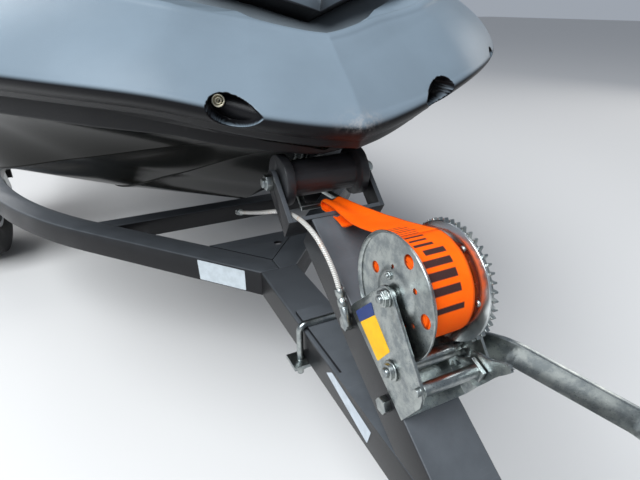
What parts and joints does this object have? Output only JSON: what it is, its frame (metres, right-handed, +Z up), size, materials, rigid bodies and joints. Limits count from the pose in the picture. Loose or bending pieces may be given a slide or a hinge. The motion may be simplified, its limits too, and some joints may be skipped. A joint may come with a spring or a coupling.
{
  "type": "personal watercraft on trailer",
  "caption": "Small sit-down jet-driven watercraft strapped on its single-axle trailer, with winch, bow roller, jockey wheel, bunks and lamp board.",
  "frame": {"origin": "on the ground under the middle of the whole outfit's bounding box", "axes": "+X to the craft's port side, +Y aft, +Z up; the coupling and the bow point to -Y"},
  "size_m": [1.59, 3.7134, 1.4681],
  "materials": {
    "frame_black": "satin",
    "zinc": "satin",
    "roller_black": "satin",
    "strap_orange": "matte",
    "cable_clear": "satin",
    "hull_black": "gloss",
    "deck_grey": "matte",
    "cowl_grey": "matte",
    "trim_black": "matte",
    "seat_black": "matte",
    "mat_grey": "matte",
    "grip_rubber": "matte",
    "bar_black": "satin",
    "pump_alloy": "satin",
    "tyre_rubber": "matte",
    "rim_silver": "satin",
    "guard_black": "satin",
    "bunk_carpet": "matte",
    "lamp_red": "gloss",
    "board_white": "satin",
    "engine_alloy": "satin"
  },
  "bodies": {
    "base": {"axle_beam": "zinc", "bow_eye": "zinc", "bunk_posts": "frame_black", "bunks": "bunk_carpet", "cable_fittings": "zinc", "clamp_bolt": "zinc", "coupling_head": "zinc", "cross_members": "frame_black", "deck": "deck_grey", "drawbar": "frame_black", "engine": "engine_alloy", "footwell_mats": "mat_grey", "frame_bolts": "zinc", "frame_plates": "frame_black", "frame_rail_left": "frame_black", "frame_rail_right": "frame_black", "front_cowl": "cowl_grey", "grab_handle": "trim_black", "guard_brackets": "frame_black", "hull": "hull_black", "jet_pump": "pump_alloy", "jockey_clamp": "zinc", "jockey_tube": "zinc", "lamp_board": "board_white", "mudguards": "guard_black", "ride_plate": "pump_alloy", "roller_bracket": "frame_black", "rub_band": "trim_black", "safety_cable": "cable_clear", "seat": "seat_black", "sponsons": "trim_black", "steering_column": "trim_black", "strap_run": "strap_orange", "suspension_arms": "zinc", "tail_lamps": "lamp_red", "winch_bolts": "zinc", "winch_frame": "zinc", "winch_hook": "zinc", "winch_post": "frame_black"},
    "wheel_left": {"rim_left": "rim_silver", "tyre_left": "tyre_rubber"},
    "wheel_right": {"rim_right": "rim_silver", "tyre_right": "tyre_rubber"},
    "jockey_swivel": {"jockey_fork": "zinc"},
    "jockey_roll": {"jockey_wheel": "roller_black"},
    "roller": {"bow_roller": "roller_black"},
    "drum": {"winch_drum": "zinc", "strap_roll": "strap_orange"},
    "crank": {"crank": "zinc"},
    "grip": {"crank_grip": "trim_black"},
    "pawl": {"pawl": "zinc"},
    "steering": {"handlebar": "bar_black", "grips": "grip_rubber"},
    "nozzle": {"steering_nozzle": "pump_alloy"},
    "bucket": {"reverse_bucket": "trim_black"},
    "lever": {"coupling_lever": "zinc"},
    "impeller": {"impeller": "pump_alloy"}
  },
  "joints": [
    {"name": "wheel_left_spin", "type": "hinge", "parent": "base", "child": "wheel_left", "pos_m": [0.7, 0.675, 0.243], "axis": [1, 0, 0], "continuous": true},
    {"name": "wheel_right_spin", "type": "hinge", "parent": "base", "child": "wheel_right", "pos_m": [-0.7, 0.675, 0.243], "axis": [1, 0, 0], "continuous": true},
    {"name": "jockey_swivel", "type": "hinge", "parent": "base", "child": "jockey_swivel", "pos_m": [-0.081, -1.455, 0.3], "axis": [0, 0, 1], "continuous": true},
    {"name": "jockey_spin", "type": "hinge", "parent": "jockey_swivel", "child": "jockey_roll", "pos_m": [-0.081, -1.419, 0.1], "axis": [1, 0, 0], "continuous": true},
    {"name": "roller_spin", "type": "hinge", "parent": "base", "child": "roller", "pos_m": [0, -0.848, 0.675], "axis": [1, 0, 0], "continuous": true},
    {"name": "drum_spin", "type": "hinge", "parent": "base", "child": "drum", "pos_m": [-0.0025, -1.075, 0.63], "axis": [1, 0, 0], "continuous": true},
    {"name": "crank_spin", "type": "hinge", "parent": "base", "child": "crank", "pos_m": [0.033, -1.09339, 0.55696], "axis": [1, 0, 0], "continuous": true},
    {"name": "crank_grip_spin", "type": "hinge", "parent": "crank", "child": "grip", "pos_m": [0.205, -1.30939, 0.52796], "axis": [1, 0, 0], "continuous": true},
    {"name": "pawl_lift", "type": "hinge", "parent": "base", "child": "pawl", "pos_m": [0.026, -1.13532, 0.56613], "axis": [1, 0, 0], "range_deg": [0, 15]},
    {"name": "steer", "type": "hinge", "parent": "base", "child": "steering", "pos_m": [0, 0.055, 1.41], "axis": [0, 0.4695, 0.8829], "range_deg": [-25, 25]},
    {"name": "nozzle_turn", "type": "hinge", "parent": "base", "child": "nozzle", "pos_m": [0, 1.79, 0.6], "axis": [0, 0, 1], "range_deg": [-20, 20]},
    {"name": "bucket_drop", "type": "hinge", "parent": "base", "child": "bucket", "pos_m": [0, 1.71, 0.6], "axis": [1, 0, 0], "range_deg": [-34, 0]},
    {"name": "coupling_release", "type": "hinge", "parent": "base", "child": "lever", "pos_m": [0, -1.735, 0.494], "axis": [1, 0, 0], "range_deg": [0, 50]},
    {"name": "impeller_spin", "type": "hinge", "parent": "base", "child": "impeller", "pos_m": [0, 1.64, 0.6], "axis": [0, 1, 0], "continuous": true}
  ],
  "couplings": [
    {"joint": "crank_spin", "follows": "drum_spin", "ratio": -4.1818},
    {"joint": "nozzle_turn", "follows": "steer", "ratio": 0.8}
  ]
}
